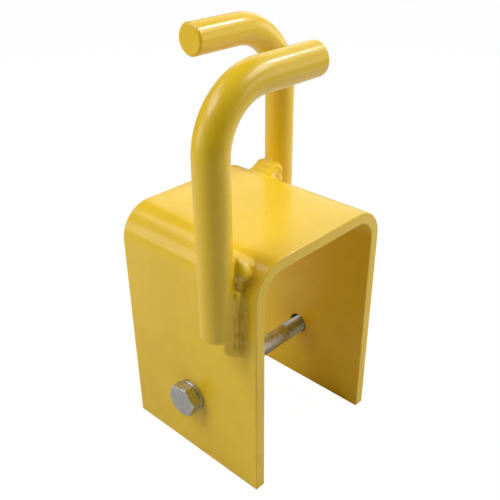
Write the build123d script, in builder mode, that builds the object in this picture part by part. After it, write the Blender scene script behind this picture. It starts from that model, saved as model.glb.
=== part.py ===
from build123d import *
import os

# Beam clamp. A steel plate is bent into an upside-down U, the saddle, which drops over a beam. A round bar
# bent into a hook is welded to each side of it, and a bolt across the mouth keeps the beam in. Millimetres.
# The origin is the middle of the footprint, at the lower ends of the saddle, and +Z is up. X runs across
# the saddle, with the left side at -X. Y runs along the beam, with the front at -Y. Half a turn about Z
# nearly swaps the two hooks.

# Steel sizes, with the powder coat that covers them
coat = 0.15
plate_thickness = 6.0 + 2 * coat
bar_diameter = 16.0 + 2 * coat

# Saddle
saddle_width = 96.0
saddle_depth = 95.0
saddle_height = 135.0
bend_inner_radius = 12.0
plate_edge_round = 0.7

# Hooks. Each bar lies against a side face, off the middle, and its arm passes over the saddle. The bars are
# bent by hand, so the right one stands a little higher and has the wider bend.
bar_offset = 30.5
bar_foot_height = 97.5
left_arm_height = 213.5
left_bend_radius = 29.0
right_arm_height = 215.5
right_bend_radius = 34.5
arm_past_middle = 10.0
bar_end_chamfer = 1.0

# Welds, one along each flank of each bar. The outer ones, nearer the saddle's ends, are the heavier.
# Each is a fillet with balls of metal at its ends; the middle of a ball stands out from the saddle's side
# and along from the bar's axis. The outer weld's last ball carries it on round the bar, where it fills the
# hollow between the bar and the saddle's bend.
weld_crown = 0.7
weld_root_depth = 2.5
outer_leg = 10.6
outer_foot = 91.5
outer_head = 125.5
outer_balls = (
    {"radius": 5.5, "out": 2.5, "along": 6.0, "height": 91.5},
    {"radius": 5.4, "out": -2.1, "along": 5.4, "height": 129.0},
    {"radius": 5.6, "out": -2.6, "along": -1.5, "height": 129.6},
)
inner_leg = 9.6
inner_foot = 101.0
inner_head = 119.0
inner_balls = (
    {"radius": 3.6, "out": 2.0, "along": 6.0, "height": 101.0},
    {"radius": 3.6, "out": 1.0, "along": 6.0, "height": 119.0},
)

# M10 x 110 bolt, nut and small washers. The bolt hangs low in its holes. The thread is a plain cylinder
# at its pitch diameter.
hole_height = 40.0
bolt_drop = 0.8
bolt_height = hole_height - bolt_drop
bolt_diameter = 10.0
bolt_length = 110.0
thread_diameter = 9.0
thread_length = 32.0
thread_running_gap = 0.05
tip_chamfer = 1.0
hexagon_across_flats = 17.0
hexagon_chamfer_angle = 30.0
head_thickness = 6.4
head_turn = -7.0
nut_thickness = 8.0
nut_countersink = 0.8
nut_turn = 20.0
bolt_hole_diameter = 12.0
washer_outer_diameter = 18.0
washer_inner_diameter = 10.5
washer_thickness = 2.0
washer_edge_chamfer = 0.3

# Places worked out from the sizes above
saddle_side = saddle_width / 2
inner_side = saddle_side - plate_thickness
inner_top = saddle_height - plate_thickness
bar_radius = bar_diameter / 2
bar_place = saddle_side + bar_radius
head_seat = -saddle_side - washer_thickness
nut_seat = saddle_side + washer_thickness
thread_end = head_seat + bolt_length
thread_start = thread_end - thread_length
corner_radius = hexagon_across_flats / 3**0.5
face_circle_radius = 0.48 * hexagon_across_flats


def make_hook(side, arm_height, bend_radius):
    """A bent bar: side is -1 for the left one and 1 for the right one. Its arm reaches to the other side."""
    with BuildPart() as hook:
        with BuildLine(Plane.XZ.offset(-side * bar_offset)) as bar_line:
            FilletPolyline(
                (side * bar_place, bar_foot_height),
                (side * bar_place, arm_height),
                (-side * arm_past_middle, arm_height),
                radius=bend_radius,
            )
        with BuildSketch(Plane(origin=bar_line.line @ 0, z_dir=bar_line.line % 0)):
            Circle(bar_radius)
        sweep()
        foot_rim = hook.faces().sort_by(Axis.Z)[0].edges()
        arm_rim = hook.faces().sort_by(Axis.X)[0 if side > 0 else -1].edges()
        chamfer(foot_rim + arm_rim, bar_end_chamfer)
    return hook


def make_weld(side, flank, hook, leg, foot, head, balls):
    """A weld between a bar and the saddle's side, on the bar's outer flank (1) or inner flank (-1)."""
    bar_y = side * bar_offset
    along = side * flank
    toe_y = bar_y + along * leg
    flank_y = bar_y + along * bar_radius
    root_x = side * (saddle_side - weld_root_depth)
    with BuildPart() as weld:
        with BuildSketch(Plane.XY.offset(foot)):
            with BuildLine():
                Polyline(
                    (side * bar_place, flank_y),
                    (side * bar_place, bar_y),
                    (root_x, bar_y),
                    (root_x, toe_y),
                    (side * saddle_side, toe_y),
                )
                SagittaArc(
                    (side * saddle_side, toe_y),
                    (side * bar_place, flank_y),
                    -flank * weld_crown,
                )
            make_face()
        extrude(amount=head - foot)
        for ball in balls:
            ball_x = side * (saddle_side + ball["out"])
            ball_y = bar_y + along * ball["along"]
            with Locations((ball_x, ball_y, ball["height"])):
                Sphere(ball["radius"])
        add(hook.part, mode=Mode.SUBTRACT)
        add(saddle.part, mode=Mode.SUBTRACT)
    return weld


def bolt_plane(x, facing=1):
    """A plane square to the bolt's axis, at x, that looks along +X (facing 1) or -X (facing -1)."""
    return Plane(origin=(x, 0, bolt_height), x_dir=(0, 1, 0), z_dir=(facing, 0, 0))


def make_hexagon(low_x, high_x, turn, chamfered_faces):
    """A hexagon across the bolt's axis, its corners cut back at the faces given by their x and facing."""
    with BuildPart() as hexagon:
        with BuildSketch(bolt_plane(low_x)):
            RegularPolygon(corner_radius, side_count=6, rotation=turn)
        extrude(amount=high_x - low_x)
        for x, facing in chamfered_faces:
            with BuildSketch(bolt_plane(x, facing)):
                Circle(face_circle_radius)
            extrude(amount=high_x - low_x, taper=hexagon_chamfer_angle - 90, mode=Mode.INTERSECT)
    return hexagon


def make_washer(low_x):
    """A flat washer on the bolt, from low_x outwards along +X."""
    with BuildPart() as washer:
        with BuildSketch(bolt_plane(low_x)):
            Circle(washer_outer_diameter / 2)
            Circle(washer_inner_diameter / 2, mode=Mode.SUBTRACT)
        extrude(amount=washer_thickness)
        chamfer(washer.edges().filter_by(GeomType.CIRCLE), washer_edge_chamfer)
    return washer


with BuildPart() as saddle:
    with BuildSketch(Plane.XZ):
        with BuildLine():
            FilletPolyline(
                (-inner_side, 0),
                (-inner_side, inner_top),
                (inner_side, inner_top),
                (inner_side, 0),
                radius=bend_inner_radius,
            )
            offset(amount=plate_thickness, side=Side.LEFT)
        make_face()
    extrude(amount=saddle_depth / 2, both=True)
    fillet(saddle.edges(), plate_edge_round)
    with BuildSketch(Plane.YZ.offset(-saddle_side)):
        with Locations((0, hole_height)):
            Circle(bolt_hole_diameter / 2)
    extrude(amount=saddle_width, mode=Mode.SUBTRACT)

left_hook = make_hook(-1, left_arm_height, left_bend_radius)
right_hook = make_hook(1, right_arm_height, right_bend_radius)
outer_weld = (outer_leg, outer_foot, outer_head, outer_balls)
inner_weld = (inner_leg, inner_foot, inner_head, inner_balls)
left_outer_weld = make_weld(-1, 1, left_hook, *outer_weld)
left_inner_weld = make_weld(-1, -1, left_hook, *inner_weld)
right_outer_weld = make_weld(1, 1, right_hook, *outer_weld)
right_inner_weld = make_weld(1, -1, right_hook, *inner_weld)

head_face = head_seat - head_thickness
head_hexagon = make_hexagon(head_face, head_seat, head_turn, [(head_face, 1)])

with BuildPart() as bolt:
    add(head_hexagon.part)
    with BuildSketch(bolt_plane(head_seat)):
        Circle(bolt_diameter / 2)
    extrude(amount=thread_start - head_seat)
    with BuildSketch(bolt_plane(thread_start)):
        Circle(thread_diameter / 2)
    extrude(amount=thread_length)
    chamfer(bolt.faces().sort_by(Axis.X)[-1].edges(), tip_chamfer)

nut_faces = [(nut_seat, 1), (nut_seat + nut_thickness, -1)]
nut_hexagon = make_hexagon(nut_seat, nut_seat + nut_thickness, nut_turn, nut_faces)

with BuildPart() as nut:
    add(nut_hexagon.part)
    with BuildSketch(bolt_plane(nut_seat)):
        Circle(thread_diameter / 2 + thread_running_gap)
    extrude(amount=nut_thickness, mode=Mode.SUBTRACT)
    bore_rims = nut.edges().filter_by(GeomType.CIRCLE).group_by(SortBy.RADIUS)[0]
    chamfer(bore_rims, nut_countersink)

head_washer = make_washer(head_seat)
nut_washer = make_washer(saddle_side)

pieces = {
    "saddle": saddle,
    "left_hook": left_hook,
    "right_hook": right_hook,
    "left_outer_weld": left_outer_weld,
    "left_inner_weld": left_inner_weld,
    "right_outer_weld": right_outer_weld,
    "right_inner_weld": right_inner_weld,
    "bolt": bolt,
    "head_washer": head_washer,
    "nut_washer": nut_washer,
    "nut": nut,
}

os.makedirs("parts", exist_ok=True)
for name, piece in pieces.items():
    piece.part.label = name
    export_step(piece.part, f"parts/{name}.step")
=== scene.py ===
import math

import bpy
import numpy as np
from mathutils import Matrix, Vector


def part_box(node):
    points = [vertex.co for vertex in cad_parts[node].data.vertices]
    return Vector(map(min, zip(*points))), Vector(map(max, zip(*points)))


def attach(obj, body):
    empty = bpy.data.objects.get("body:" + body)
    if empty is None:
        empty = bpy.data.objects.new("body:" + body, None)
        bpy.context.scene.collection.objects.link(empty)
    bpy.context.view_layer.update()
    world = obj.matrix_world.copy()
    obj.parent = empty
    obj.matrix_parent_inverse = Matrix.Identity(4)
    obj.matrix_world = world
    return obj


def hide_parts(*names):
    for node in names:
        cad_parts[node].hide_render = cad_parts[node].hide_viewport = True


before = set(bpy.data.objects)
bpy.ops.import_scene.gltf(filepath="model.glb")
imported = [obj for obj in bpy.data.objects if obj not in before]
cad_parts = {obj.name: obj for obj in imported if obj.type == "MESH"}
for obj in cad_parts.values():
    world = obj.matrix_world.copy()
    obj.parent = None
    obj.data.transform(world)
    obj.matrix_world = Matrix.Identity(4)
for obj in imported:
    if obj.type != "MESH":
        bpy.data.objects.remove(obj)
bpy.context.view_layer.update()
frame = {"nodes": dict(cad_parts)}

# Beam clamp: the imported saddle, hooks and washers with their finish, and the welds, bolt and nut made
# again in finer detail. Metres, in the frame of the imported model.

mm = 0.001

# ---------------------------------------------------------------- places read from the frame

saddle_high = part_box("saddle")[1]
bolt_low, bolt_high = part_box("bolt")
nut_low, nut_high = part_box("nut")
washer_low, washer_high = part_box("head_washer")
saddle_side = saddle_high.x
saddle_top = saddle_high.z
bolt_axis_z = (washer_low.z + washer_high.z) / 2
head_seat = washer_low.x
bar_radius = (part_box("left_hook")[1].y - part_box("left_hook")[0].y) / 2
bend_radius = 18.3 * mm

# ---------------------------------------------------------------- camera

camera_aim = Vector((-2.4, -8.2, 100.8)) * mm
camera_distance = 370 * mm
camera_azimuth = -47.5
camera_elevation = 30.8


def make_camera():
    """A 50 mm lens that looks down at the clamp from its front left, with the lens shifted a little."""
    azimuth = math.radians(camera_azimuth)
    elevation = math.radians(camera_elevation)
    back = Vector(
        (
            math.sin(azimuth) * math.cos(elevation),
            -math.cos(azimuth) * math.cos(elevation),
            math.sin(elevation),
        )
    )
    data = bpy.data.cameras.new("camera")
    data.lens = 50
    data.shift_x = -0.02
    data.shift_y = 0.04
    data.clip_start = 10 * mm
    data.clip_end = 20
    camera = bpy.data.objects.new("camera", data)
    bpy.context.scene.collection.objects.link(camera)
    camera.location = camera_aim + back * camera_distance
    camera.rotation_mode = "QUATERNION"
    camera.rotation_quaternion = (-back).to_track_quat("-Z", "Y")
    bpy.context.scene.camera = camera


# ---------------------------------------------------------------- surfaces from distance fields


def smooth_min(a, b, reach):
    """The smaller of two distances, blended where they differ by less than reach."""
    h = np.clip(0.5 + 0.5 * (b - a) / reach, 0, 1)
    return b + (a - b) * h - reach * h * (1 - h)


def surface_from_field(field, low, high, step):
    """Points and faces of the surface where field is zero, with one point in each grid cell it crosses."""
    axes = [np.arange(low[i], high[i] + step, step) for i in range(3)]
    grid = np.stack(np.meshgrid(*axes, indexing="ij"), axis=-1)
    value = field(grid[..., 0], grid[..., 1], grid[..., 2])
    inside = value < 0
    cells = np.array(inside.shape) - 1
    corner_steps = np.array([(i, j, k) for i in (0, 1) for j in (0, 1) for k in (0, 1)])

    def corner(offset, array):
        i, j, k = offset
        return array[i : i + cells[0], j : j + cells[1], k : k + cells[2]]

    total = np.zeros(tuple(cells) + (3,))
    count = np.zeros(tuple(cells))
    for first in corner_steps:
        for axis in range(3):
            if first[axis] == 1:
                continue
            second = first.copy()
            second[axis] = 1
            a, b = corner(first, value), corner(second, value)
            crosses = (a < 0) != (b < 0)
            share = np.where(crosses, a / np.where(crosses, a - b, 1), 0)
            for n in range(3):
                total[..., n] += np.where(crosses, first[n] + (share if n == axis else 0), 0)
            count += crosses
    used = count > 0
    number = np.full(tuple(cells), -1)
    number[used] = np.arange(used.sum())
    place = np.argwhere(used) + total[used] / count[used][:, None]
    points = np.array(low) + place * step

    faces = []
    for axis in range(3):
        u, v = (axis + 1) % 3, (axis + 2) % 3
        end = [slice(0, n + 1) for n in cells]
        start = [slice(0, n + 1) for n in cells]
        end[axis] = slice(1, cells[axis] + 1)
        start[axis] = slice(0, cells[axis])
        before, after = inside[tuple(start)], inside[tuple(end)]
        for outward in (True, False):
            edges = np.argwhere((before & ~after) if outward else (~before & after))
            above = (edges[:, u] > 0) & (edges[:, v] > 0)
            below = (edges[:, u] < cells[u]) & (edges[:, v] < cells[v])
            edges = edges[above & below]
            ring = []
            for du, dv in ((-1, -1), (0, -1), (0, 0), (-1, 0)):
                cell = edges.copy()
                cell[:, u] += du
                cell[:, v] += dv
                ring.append(number[cell[:, 0], cell[:, 1], cell[:, 2]])
            if not outward:
                ring.reverse()
            faces.append(np.stack(ring, axis=1))
    return points, np.concatenate(faces)


def mesh_object(name, points, faces):
    """A mesh object in the scene, with smooth shading."""
    mesh = bpy.data.meshes.new(name)
    mesh.from_pydata([tuple(point) for point in points], [], [tuple(face) for face in faces])
    mesh.validate()
    mesh.shade_smooth()
    piece = bpy.data.objects.new(name, mesh)
    bpy.context.scene.collection.objects.link(piece)
    return piece


# ---------------------------------------------------------------- welds

bar_axis_out = bar_radius        # the bar's axis, out from the saddle's side
bar_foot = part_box("left_hook")[0].z
skin_lift = 0.02 * mm            # how far a weld's thin edge stands off the metal, so that it is seen
skin_depth = 0.6 * mm            # how deep a weld reaches into the metal


def saddle_distance(out, z):
    """Distance to the saddle's outer face and bend, where out is measured from its side face."""
    over = out + bend_radius
    above = z - (saddle_top - bend_radius)
    round_part = np.hypot(over, above) - bend_radius
    flat_part = np.maximum(out, z - saddle_top)
    return np.where((over > 0) & (above > 0), round_part, flat_part)


def bar_distance(out, along, z):
    """Distance to the bar, which stands upright on its square-cut foot."""
    flank = np.hypot(out - bar_axis_out, along) - bar_radius
    end = bar_foot - z
    return np.maximum(np.maximum(flank, end), (flank + end) * 0.7071 + 0.7 * mm)


def drop_distance(out, along, z, middle, radii):
    """Distance to a drop of weld metal, an ellipsoid. Its middle and radii are in millimetres."""
    place = zip((out, along, z), middle, radii)
    p = [(value - centre * mm) / (radius * mm) for value, centre, radius in place]
    near = np.sqrt(p[0] ** 2 + p[1] ** 2 + p[2] ** 2)
    steep = np.sqrt(sum((value / (radius * mm)) ** 2 for value, radius in zip(p, radii)))
    return near * (near - 1) / np.maximum(steep, 1e-9)


def bead_drops(foot, head, pitch, start, end, radii, sway, random):
    """One pass of a weld: overlapping drops from foot to head, each a little out of line with the last.
    Its line runs from start to end, each a distance out from the saddle and one along from the bar's axis."""
    drops = []
    count = int((head - foot) / pitch) + 1
    for number in range(count):
        share = number / (count - 1)
        shift = random.normal(0, sway, 3)
        size = 1 + random.normal(0, 0.07)
        out = start[0] + (end[0] - start[0]) * share + shift[0]
        along = start[1] + (end[1] - start[1]) * share + shift[1]
        middle = (out, along, foot + number * pitch + shift[2])
        drops.append((middle, tuple(radius * size for radius in radii)))
    return drops


def outer_weld_drops(random):
    """A heavy weld, three passes over a root pass, with a wide lump at its foot. At its head a ball runs on
    round the bar and fills the hollow between the bar and the saddle's bend."""
    drops = bead_drops(93, 121, 1.5, (3.0, 5.2), (2.6, 5.2), (4.2, 3.0, 2.2), 0.12, random)
    drops += bead_drops(92, 120, 1.9, (7.9, 6.5), (5.4, 6.4), (1.9, 2.1, 2.4), 0.26, random)
    drops += bead_drops(91, 122, 2.1, (4.4, 7.5), (3.0, 7.7), (1.7, 2.0, 2.5), 0.30, random)
    drops += bead_drops(92, 121, 2.3, (1.2, 7.8), (0.6, 7.8), (1.7, 1.9, 2.7), 0.30, random)
    drops += [
        ((3.0, 6.6, 91.0), (4.8, 3.4, 4.8)),
        ((0.6, 7.0, 89.5), (2.8, 3.2, 4.4)),
        ((0.6, 4.4, 124.4), (3.4, 2.6, 3.4)),
        ((0.4, 7.2, 124.8), (1.8, 1.4, 2.8)),
        ((-1.6, 5.7, 130.3), (4.9, 5.0, 4.9)),
    ]
    for along in np.arange(-6.4, 5.0, 2.2):
        drops += [
            ((-2.2, along, 128.6), (4.6, 3.8, 5.4)),
            ((-6.4, along, 131.2), (3.6, 3.8, 3.5)),
            ((-3.6, along, 132.3), (3.4, 3.8, 3.6)),
            ((-1.0, along, 133.8), (3.2, 3.8, 3.8)),
        ]
    return drops


def inner_weld_drops(random):
    """A single pass, lighter than the outer weld."""
    drops = bead_drops(100.5, 120, 1.7, (2.6, 6.4), (2.6, 6.4), (3.6, 3.2, 2.3), 0.14, random)
    drops += [((2.2, 6.0, 100.8), (3.6, 3.8, 3.4)), ((0.6, 6.2, 119.6), (3.4, 3.4, 3.2))]
    return drops


def make_weld(name, side, flank, drops):
    """The weld that stands for a CAD weld. It thins out on to the saddle and the bar that it joins."""
    bar_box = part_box("left_hook" if side < 0 else "right_hook")
    bar_y = (bar_box[0].y + bar_box[1].y) / 2
    blend = 1.0 * mm
    toe = 1.8 * mm

    def field(out, along, z):
        bead = np.full(out.shape, 1.0)
        for middle, radii in drops:
            bead = smooth_min(bead, drop_distance(out, along, z, middle, radii), blend)
        metal = np.minimum(saddle_distance(out, z), bar_distance(out, along, z))
        skin = smooth_min(bead, metal, toe) - skin_lift
        return np.maximum(np.maximum(skin, -metal - skin_depth), bead - toe)

    low_z = min(middle[2] - radii[2] for middle, radii in drops) - 3
    high_z = max(middle[2] + radii[2] for middle, radii in drops) + 3
    step = 0.28 * mm
    low = np.array((-15, -13, low_z)) * mm
    high = np.array((11.5, 16, high_z)) * mm
    points, faces = surface_from_field(field, low, high, step)
    x = side * (saddle_side + points[:, 0])
    y = bar_y + side * flank * points[:, 1]
    if flank < 0:
        faces = faces[:, ::-1]
    weld = mesh_object(name + "_metal", np.stack((x, y, points[:, 2]), axis=1), faces)
    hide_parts(name)
    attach(weld, "frame")
    return weld


# ---------------------------------------------------------------- bolt and nut

ring_points = 120
pitch = 1.5 * mm
crest_radius = 4.95 * mm
root_radius = 4.1 * mm
thread_play = 0.1 * mm
across_flats = 17 * mm
head_turn = -7
nut_turn = 20
thread_start = bolt_high.x - 32 * mm
face_radius = 0.48 * across_flats
chamfer_rise = math.tan(math.radians(30))
washer_face_radius = 0.47 * across_flats
washer_face_height = 0.4 * mm


def ring_mesh(name, stations, turn, closed):
    """A piece turned about the bolt's axis. A station is an x and a function that gives the radius at each
    angle. A closed piece joins its last ring to its first; an open one has its two ends filled."""
    angles = math.radians(turn) + np.arange(ring_points) * 2 * math.pi / ring_points
    points = []
    for x, radius in stations:
        r = np.broadcast_to(radius(x, angles), angles.shape)
        y, z = r * np.cos(angles), bolt_axis_z + r * np.sin(angles)
        points.append(np.stack((np.full(ring_points, x), y, z), axis=1))
    index = np.arange(len(points) * ring_points).reshape(-1, ring_points)
    if closed:
        index = np.vstack((index, index[:1]))
    low, high = index[:-1], index[1:]
    quads = np.stack((low, np.roll(low, -1, axis=1), np.roll(high, -1, axis=1), high), axis=-1)
    faces = quads.reshape(-1, 4).tolist()
    if not closed:
        faces += [index[0][::-1].tolist(), index[-1].tolist()]
    piece = mesh_object(name, np.concatenate(points), faces)
    piece.data.set_sharp_from_angle(angle=math.radians(28))
    return piece


def round_at(radius):
    """A round station of that radius."""
    return lambda x, angles: radius


def hexagon(turn, low_face, high_face):
    """Hexagon stations, with the corners rounded a little and cut back at 30 degrees to the faces."""

    def radius(x, angles):
        from_corner = np.mod(angles - math.radians(turn), math.pi / 3)
        flat = across_flats / 2 / np.cos(from_corner - math.pi / 6)
        cone = face_radius + min(x - low_face, high_face - x) / chamfer_rise
        return np.minimum(np.minimum(flat, 0.57 * across_flats), cone)

    return radius


def thread(tip_x, play):
    """Thread stations, right-handed. The thread fades in at its start and is turned down at the tip."""

    def radius(x, angles):
        turn = np.mod(x / pitch - angles / (2 * math.pi), 1)
        height = np.clip((0.75 - abs(2 * turn - 1)) / 0.6, 0, 1)
        depth = (crest_radius - root_radius) * min(1, max(0, (x - thread_start) / (1.5 * pitch)))
        cut = crest_radius - depth * (1 - height) + play
        return np.minimum(cut, root_radius + (tip_x - x) * 0.8)

    return radius


def make_bolt():
    """The hexagon bolt: a chamfered head on a round washer face, a plain shank and a cut thread."""
    face = bolt_low.x
    six = hexagon(head_turn, face, face + 1)
    under = head_seat - washer_face_height
    shank = crest_radius + 0.05 * mm
    stations = [(face, round_at(0.93 * face_radius)), (face + 0.04 * mm, round_at(0.985 * face_radius))]
    stations += [(face + depth * mm, six) for depth in np.arange(0.12, 1.6, 0.12)]
    stations += [(x, six) for x in np.linspace(face + 1.7 * mm, under - 0.15 * mm, 6)]
    stations += [
        (under, round_at(1.01 * washer_face_radius)),
        (under + 0.05 * mm, round_at(washer_face_radius)),
        (head_seat, round_at(washer_face_radius)),
        (head_seat + 0.01 * mm, round_at(shank + 0.3 * mm)),
        (head_seat + 0.3 * mm, round_at(shank)),
    ]
    stations += [(x, round_at(shank)) for x in np.linspace(head_seat + 4 * mm, thread_start, 12)]
    cut = thread(bolt_high.x, 0)
    stations += [(x, cut) for x in np.arange(thread_start + 0.1 * mm, bolt_high.x, 0.1 * mm)]
    stations += [(bolt_high.x, cut)]
    bolt = ring_mesh("bolt_threaded", stations, head_turn, closed=False)
    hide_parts("bolt")
    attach(bolt, "bolt")
    return bolt


def make_nut():
    """The hexagon nut: both faces chamfered, with a countersunk thread through it, as the bolt's is."""
    low, high = nut_low.x, nut_high.x
    six = hexagon(nut_turn, low, high)
    cut = thread(high + 1, thread_play)

    def bore(x, angles):
        sink = crest_radius + 0.5 * mm - min(x - low, high - x)
        return np.maximum(cut(x, angles), sink)

    rise = [depth * mm for depth in np.arange(0.12, 1.6, 0.12)]
    stations = [(low, round_at(0.985 * face_radius))]
    stations += [(low + depth, six) for depth in rise]
    stations += [(x, six) for x in np.linspace(low + 1.8 * mm, high - 1.8 * mm, 6)]
    stations += [(high - depth, six) for depth in reversed(rise)]
    stations += [(high, round_at(0.985 * face_radius))]
    stations += [(x, bore) for x in np.arange(high, low, -0.1 * mm)]
    stations += [(low, bore)]
    nut = ring_mesh("nut_threaded", stations, nut_turn, closed=True)
    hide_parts("nut")
    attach(nut, "nut")
    return nut


# ---------------------------------------------------------------- materials


class Shader:
    """Builds one material's nodes. Coordinates are in millimetres, in the frame of the model."""

    def __init__(self, name):
        self.material = bpy.data.materials.new(name)
        self.material.use_nodes = True
        self.tree = self.material.node_tree
        self.tree.nodes.clear()
        output = self.node("ShaderNodeOutputMaterial")
        self.surface = output.inputs["Surface"]
        place = self.node("ShaderNodeTexCoord").outputs["Object"]
        scaled = self.node("ShaderNodeVectorMath", {"operation": "SCALE"}, Vector=place, Scale=1 / mm)
        self.place = scaled.outputs[0]

    def node(self, kind, settings=None, **inputs):
        """A node with its settings and its inputs, each a plain value or another node's output."""
        made = self.tree.nodes.new(kind)
        for key, value in (settings or {}).items():
            setattr(made, key, value)
        for key, value in inputs.items():
            self.put(made.inputs[key.replace("_", " ")], value)
        return made

    def put(self, socket, value):
        """Links or sets one input."""
        if isinstance(value, bpy.types.NodeSocket):
            self.tree.links.new(value, socket)
        else:
            socket.default_value = value

    def noise(self, size, detail=2.0, roughness=0.5, distortion=0.0, place=None):
        """Soft noise from 0 to 1, whose lumps are about size millimetres across."""
        made = self.node(
            "ShaderNodeTexNoise",
            Vector=place or self.place,
            Scale=1 / size,
            Detail=detail,
            Roughness=roughness,
            Distortion=distortion,
        )
        return made.outputs["Fac"]

    def maths(self, operation, a, b):
        """One sum, product, power or other operation on numbers."""
        made = self.node("ShaderNodeMath", {"operation": operation})
        for socket, value in zip(made.inputs, (a, b)):
            self.put(socket, value)
        return made.outputs[0]

    def ramp(self, value, low, high, to_low=0.0, to_high=1.0):
        """Maps low..high to to_low..to_high, smoothly and no further."""
        made = self.node(
            "ShaderNodeMapRange",
            {"interpolation_type": "SMOOTHSTEP"},
            Value=value,
            From_Min=low,
            From_Max=high,
            To_Min=to_low,
            To_Max=to_high,
        )
        return made.outputs["Result"]

    def mix(self, share, a, b, blend="MIX"):
        """Mixes two colours."""
        made = self.node("ShaderNodeMix", {"data_type": "RGBA", "blend_type": blend})
        self.put(made.inputs[0], share)
        self.put(made.inputs[6], a)
        self.put(made.inputs[7], b)
        return made.outputs[2]

    def bump(self, height, distance, normal=None):
        """A bump whose height runs from 0 to distance, in metres."""
        made = self.node("ShaderNodeBump", Strength=1.0, Distance=distance, Height=height)
        if normal is not None:
            self.put(made.inputs["Normal"], normal)
        return made.outputs["Normal"]


def powder_coat():
    """Glossy yellow powder coat: faint orange peel, a slow ripple, a few nibs, and painted shade in its
    corners and creases.
    """
    shader = Shader("yellow_powder_coat")
    slow = shader.noise(26, detail=2)
    cloud = shader.noise(7, detail=4, roughness=0.6)
    speck = shader.noise(0.5, detail=3, roughness=0.7)
    yellow = shader.mix(shader.ramp(slow, 0.35, 0.65), (0.85, 0.555, 0.012, 1), (0.875, 0.58, 0.016, 1))
    yellow = shader.mix(shader.ramp(cloud, 0.4, 0.75, 0, 0.35), yellow, (0.83, 0.53, 0.010, 1))
    yellow = shader.mix(shader.ramp(speck, 0.62, 0.8, 0, 0.25), yellow, (0.74, 0.45, 0.004, 1))
    # Painted shade: an ambient occlusion node darkens the yellow toward deep brown in corners, creases and
    # the hollows at the welds.
    painted_corner_shade = shader.node("ShaderNodeAmbientOcclusion", {"samples": 6}, Distance=5 * mm).outputs["AO"]
    yellow = shader.mix(shader.ramp(painted_corner_shade, 0.15, 0.75, 0.45, 0), yellow, (0.55, 0.28, 0.002, 1))
    peel = shader.bump(shader.noise(2.4, detail=1.5), 0.022 * mm)
    ripple = shader.bump(slow, 0.35 * mm, peel)
    cells = shader.node("ShaderNodeTexVoronoi", {"feature": "F1"}, Vector=shader.place, Scale=1 / 9)
    nibs = cells.outputs["Distance"]
    normal = shader.bump(shader.ramp(nibs, 0.0, 0.05, 1, 0), 0.02 * mm, ripple)
    roughness = shader.ramp(cloud, 0.3, 0.7, 0.34, 0.44)
    surface = shader.node(
        "ShaderNodeBsdfPrincipled",
        Base_Color=yellow,
        Roughness=roughness,
        IOR=1.45,
        Coat_Weight=0.30,
        Coat_Roughness=0.10,
        Normal=normal,
        Coat_Normal=normal,
    )
    shader.put(shader.surface, surface.outputs["BSDF"])
    return shader.material


def zinc():
    """Dull bright-zinc plating: small mottles, fine scratches and a darker grain."""
    shader = Shader("zinc_plated_steel")
    blotch = shader.noise(1.6, detail=4, roughness=0.65)
    grain = shader.noise(0.35, detail=3, roughness=0.7)
    stretched = shader.node("ShaderNodeMapping", Vector=shader.place, Scale=(0.25, 4, 0.6)).outputs["Vector"]
    scratch = shader.noise(0.8, detail=3, roughness=0.7, place=stretched)
    metal = shader.mix(shader.ramp(blotch, 0.35, 0.65), (0.50, 0.51, 0.50, 1), (0.68, 0.69, 0.69, 1))
    metal = shader.mix(shader.ramp(grain, 0.45, 0.7, 0, 0.5), metal, (0.36, 0.37, 0.36, 1))
    dull = shader.ramp(blotch, 0.3, 0.7, 0.30, 0.44)
    roughness = shader.maths("ADD", dull, shader.ramp(grain, 0.4, 0.7, 0, 0.12))
    mottle = shader.maths("MULTIPLY", blotch, 0.7)
    height = shader.maths("ADD", mottle, shader.maths("MULTIPLY", grain, 0.35))
    normal = shader.bump(height, 0.05 * mm)
    normal = shader.bump(shader.ramp(scratch, 0.55, 0.7), 0.008 * mm, normal)
    surface = shader.node(
        "ShaderNodeBsdfPrincipled", Base_Color=metal, Metallic=1.0, Roughness=roughness, Normal=normal
    )
    shader.put(shader.surface, surface.outputs["BSDF"])
    return shader.material


def dress(pieces, material):
    """Gives every piece that material only."""
    for piece in pieces:
        piece.data.materials.clear()
        piece.data.materials.append(material)


# ---------------------------------------------------------------- stage and light


softbox_distance = 800 * mm
softbox_aim = Vector((0, 0, 110)) * mm
# The powers began as a fit of the lamps' light, and most were then changed.
softboxes = (
    # name, azimuth and elevation as the camera's are, width and height in metres, watts
    ("low_left", -90, 14, (0.40, 0.35), 0.25),
    ("low_left_back", -125, 14, (0.40, 0.35), 1.30),
    ("high_left", -112, 50, (0.35, 0.30), 2.45),
    ("high_left_back", -150, 50, (0.35, 0.30), 0.95),
    ("low_back", 155, 14, (0.40, 0.35), 0.28),
    ("high_back", 130, 34, (0.60, 0.50), 1.00),
    ("low_right_back", 115, 14, (0.40, 0.35), 0.49),
    ("low_right", 75, 14, (0.40, 0.35), 1.10),
    ("low_right_front", 35, 14, (0.40, 0.35), 0.85),
    ("high_right", 40, 50, (0.35, 0.30), 2.45),
    ("key", 74, 49, (0.09, 0.09), 1.60),
)


def softbox(name, azimuth, elevation, size, power):
    """A rectangular lamp that faces the clamp from that azimuth and elevation."""
    a, e = math.radians(azimuth), math.radians(elevation)
    back = Vector((math.sin(a) * math.cos(e), -math.cos(a) * math.cos(e), math.sin(e)))
    data = bpy.data.lights.new(name, "AREA")
    data.shape = "RECTANGLE"
    data.size, data.size_y = size
    data.energy = power
    lamp = bpy.data.objects.new(name, data)
    bpy.context.scene.collection.objects.link(lamp)
    lamp.location = softbox_aim + back * softbox_distance
    lamp.rotation_mode = "QUATERNION"
    lamp.rotation_quaternion = (-back).to_track_quat("-Z", "Y")


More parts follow.
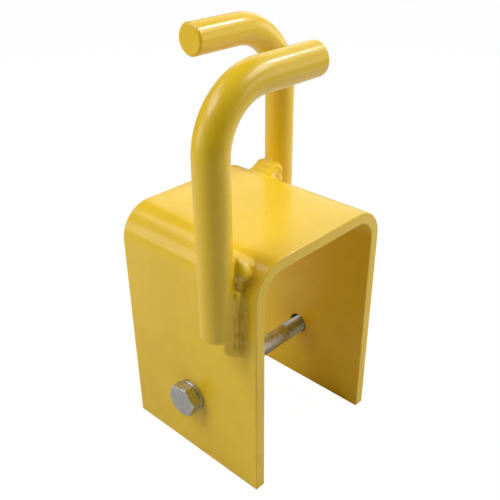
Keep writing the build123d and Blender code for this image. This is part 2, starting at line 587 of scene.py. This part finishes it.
def make_floor():
    """A plain white floor. The camera sees it nearly white, with only a faint shadow on it."""
    shader = Shader("white_floor")
    seen = shader.node("ShaderNodeLightPath").outputs["Is Camera Ray"]
    plain = shader.node("ShaderNodeBsdfDiffuse", Color=(0.72, 0.72, 0.71, 1)).outputs["BSDF"]
    glow = shader.node("ShaderNodeEmission", Color=(1, 1, 1, 1), Strength=1.02).outputs["Emission"]
    lit = shader.node("ShaderNodeMixShader", Fac=0.97)
    shader.put(lit.inputs[1], plain)
    shader.put(lit.inputs[2], glow)
    both = shader.node("ShaderNodeMixShader", Fac=seen)
    shader.put(both.inputs[1], plain)
    shader.put(both.inputs[2], lit.outputs[0])
    shader.put(shader.surface, both.outputs[0])
    half = 3.0                   # metres
    corners = [(-half, -half, 0), (half, -half, 0), (half, half, 0), (-half, half, 0)]
    floor = mesh_object("floor", corners, [(0, 1, 2, 3)])
    dress([floor], shader.material)
    return floor


def make_world():
    """Surroundings that the camera sees as white, and that give no light of their own."""
    world = bpy.data.worlds.new("studio")
    world.use_nodes = True
    nodes, links = world.node_tree.nodes, world.node_tree.links
    nodes.clear()
    output = nodes.new("ShaderNodeOutputWorld")
    seen = nodes.new("ShaderNodeLightPath")
    white = nodes.new("ShaderNodeBackground")
    white.inputs["Color"].default_value = (1, 1, 1, 1)
    room = nodes.new("ShaderNodeBackground")
    room.inputs["Strength"].default_value = 0.0
    both = nodes.new("ShaderNodeMixShader")
    links.new(seen.outputs["Is Camera Ray"], both.inputs["Fac"])
    links.new(room.outputs[0], both.inputs[1])
    links.new(white.outputs[0], both.inputs[2])
    links.new(both.outputs[0], output.inputs["Surface"])
    bpy.context.scene.world = world


# ---------------------------------------------------------------- the scene

make_camera()
random = np.random.default_rng(7)
welds = [
    make_weld("left_outer_weld", -1, 1, outer_weld_drops(random)),
    make_weld("left_inner_weld", -1, -1, inner_weld_drops(random)),
    make_weld("right_outer_weld", 1, 1, outer_weld_drops(random)),
    make_weld("right_inner_weld", 1, -1, inner_weld_drops(random)),
]
bolt, nut = make_bolt(), make_nut()

nodes = frame["nodes"]
dress(welds + [nodes["saddle"], nodes["left_hook"], nodes["right_hook"]], powder_coat())
dress([bolt, nut, nodes["head_washer"], nodes["nut_washer"]], zinc())

make_floor()
make_world()
for name, azimuth, elevation, size, power in softboxes:
    softbox(name, azimuth, elevation, size, power)
bpy.context.scene.view_settings.view_transform = "Standard"
